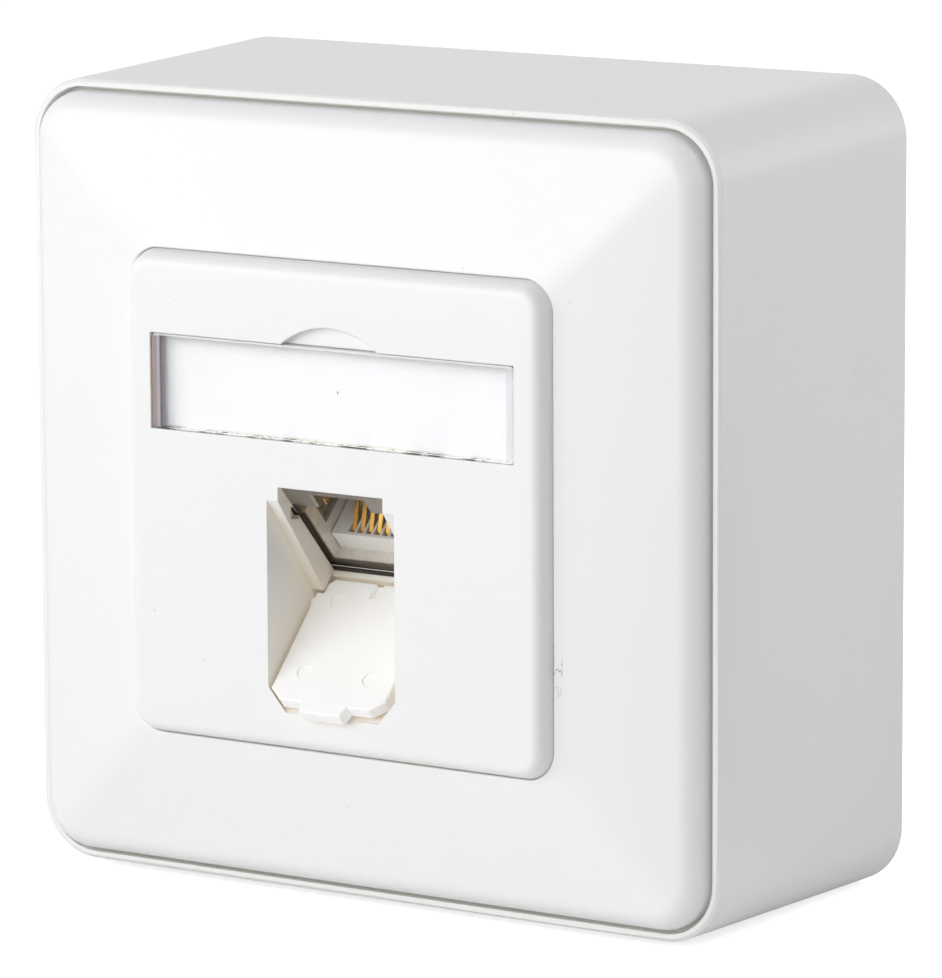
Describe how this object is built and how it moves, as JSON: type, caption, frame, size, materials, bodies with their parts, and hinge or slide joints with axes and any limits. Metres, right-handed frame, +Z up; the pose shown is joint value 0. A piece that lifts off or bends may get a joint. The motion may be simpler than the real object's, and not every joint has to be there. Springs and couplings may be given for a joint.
{
  "type": "surface mount jack box",
  "caption": "Square surface-mount data jack box with a bevelled frame, centre plate, label window and a slanted modular socket behind a hinged dust flap.",
  "frame": {"origin": "centre of the housing's back face, on the wall", "axes": "+X to the right seen from the front, +Y into the wall, +Z up; the front faces -Y"},
  "size_m": [0.0842, 0.0447, 0.0842],
  "materials": {
    "housing_plastic": "satin white moulding",
    "frame_plastic": "satin white moulding",
    "plate_plastic": "satin white moulding",
    "flap_plastic": "satin white moulding",
    "clear_pane": "clear moulding",
    "label_paper": "paper",
    "ring_steel": "zinc plated",
    "screw_steel": "zinc plated",
    "die_cast": "nickel plated casting",
    "insert_plastic": "moulded",
    "contact_gold": "gold plated",
    "spring_bronze": "bronze",
    "board_laminate": "laminate",
    "block_plastic": "moulded",
    "terminal_metal": "tinned",
    "cap_plastic": "moulded",
    "carrier_plastic": "moulded",
    "latch_steel": "spring steel"
  },
  "bodies": {
    "box": {"back_box": "housing_plastic", "support_frame": "ring_steel", "support_frame_screws": "screw_steel", "cover_frame": "frame_plastic", "centre_plate": "plate_plastic", "centre_plate_screws": "screw_steel", "label_card": "label_paper", "jack_shell": "die_cast", "jack_insert": "insert_plastic", "contact_1": "contact_gold", "contact_2": "contact_gold", "contact_3": "contact_gold", "contact_4": "contact_gold", "contact_5": "contact_gold", "contact_6": "contact_gold", "contact_7": "contact_gold", "contact_8": "contact_gold", "shield_spring_left": "spring_bronze", "shield_spring_right": "spring_bronze", "contact_board": "board_laminate", "idc_block": "block_plastic", "idc_terminal_1": "terminal_metal", "idc_terminal_2": "terminal_metal", "idc_terminal_3": "terminal_metal", "idc_terminal_4": "terminal_metal", "idc_terminal_5": "terminal_metal", "idc_terminal_6": "terminal_metal", "idc_terminal_7": "terminal_metal", "idc_terminal_8": "terminal_metal", "wire_cap": "cap_plastic", "rear_shell": "die_cast", "module_carrier": "carrier_plastic", "carrier_screws": "screw_steel", "module_latch": "latch_steel"},
    "flap": {"dust_flap": "flap_plastic"},
    "window": {"label_window": "clear_pane"}
  },
  "joints": [
    {"name": "flap_hinge", "type": "hinge", "parent": "box", "child": "flap", "pos_m": [-0.0004, -0.03455, -0.01133], "axis": [-1, 0, 0], "range_deg": [0, 94]},
    {"name": "window_lift", "type": "slide", "parent": "box", "child": "window", "axis": [0, -1, 0], "range_m": [0, 0.008]}
  ]
}
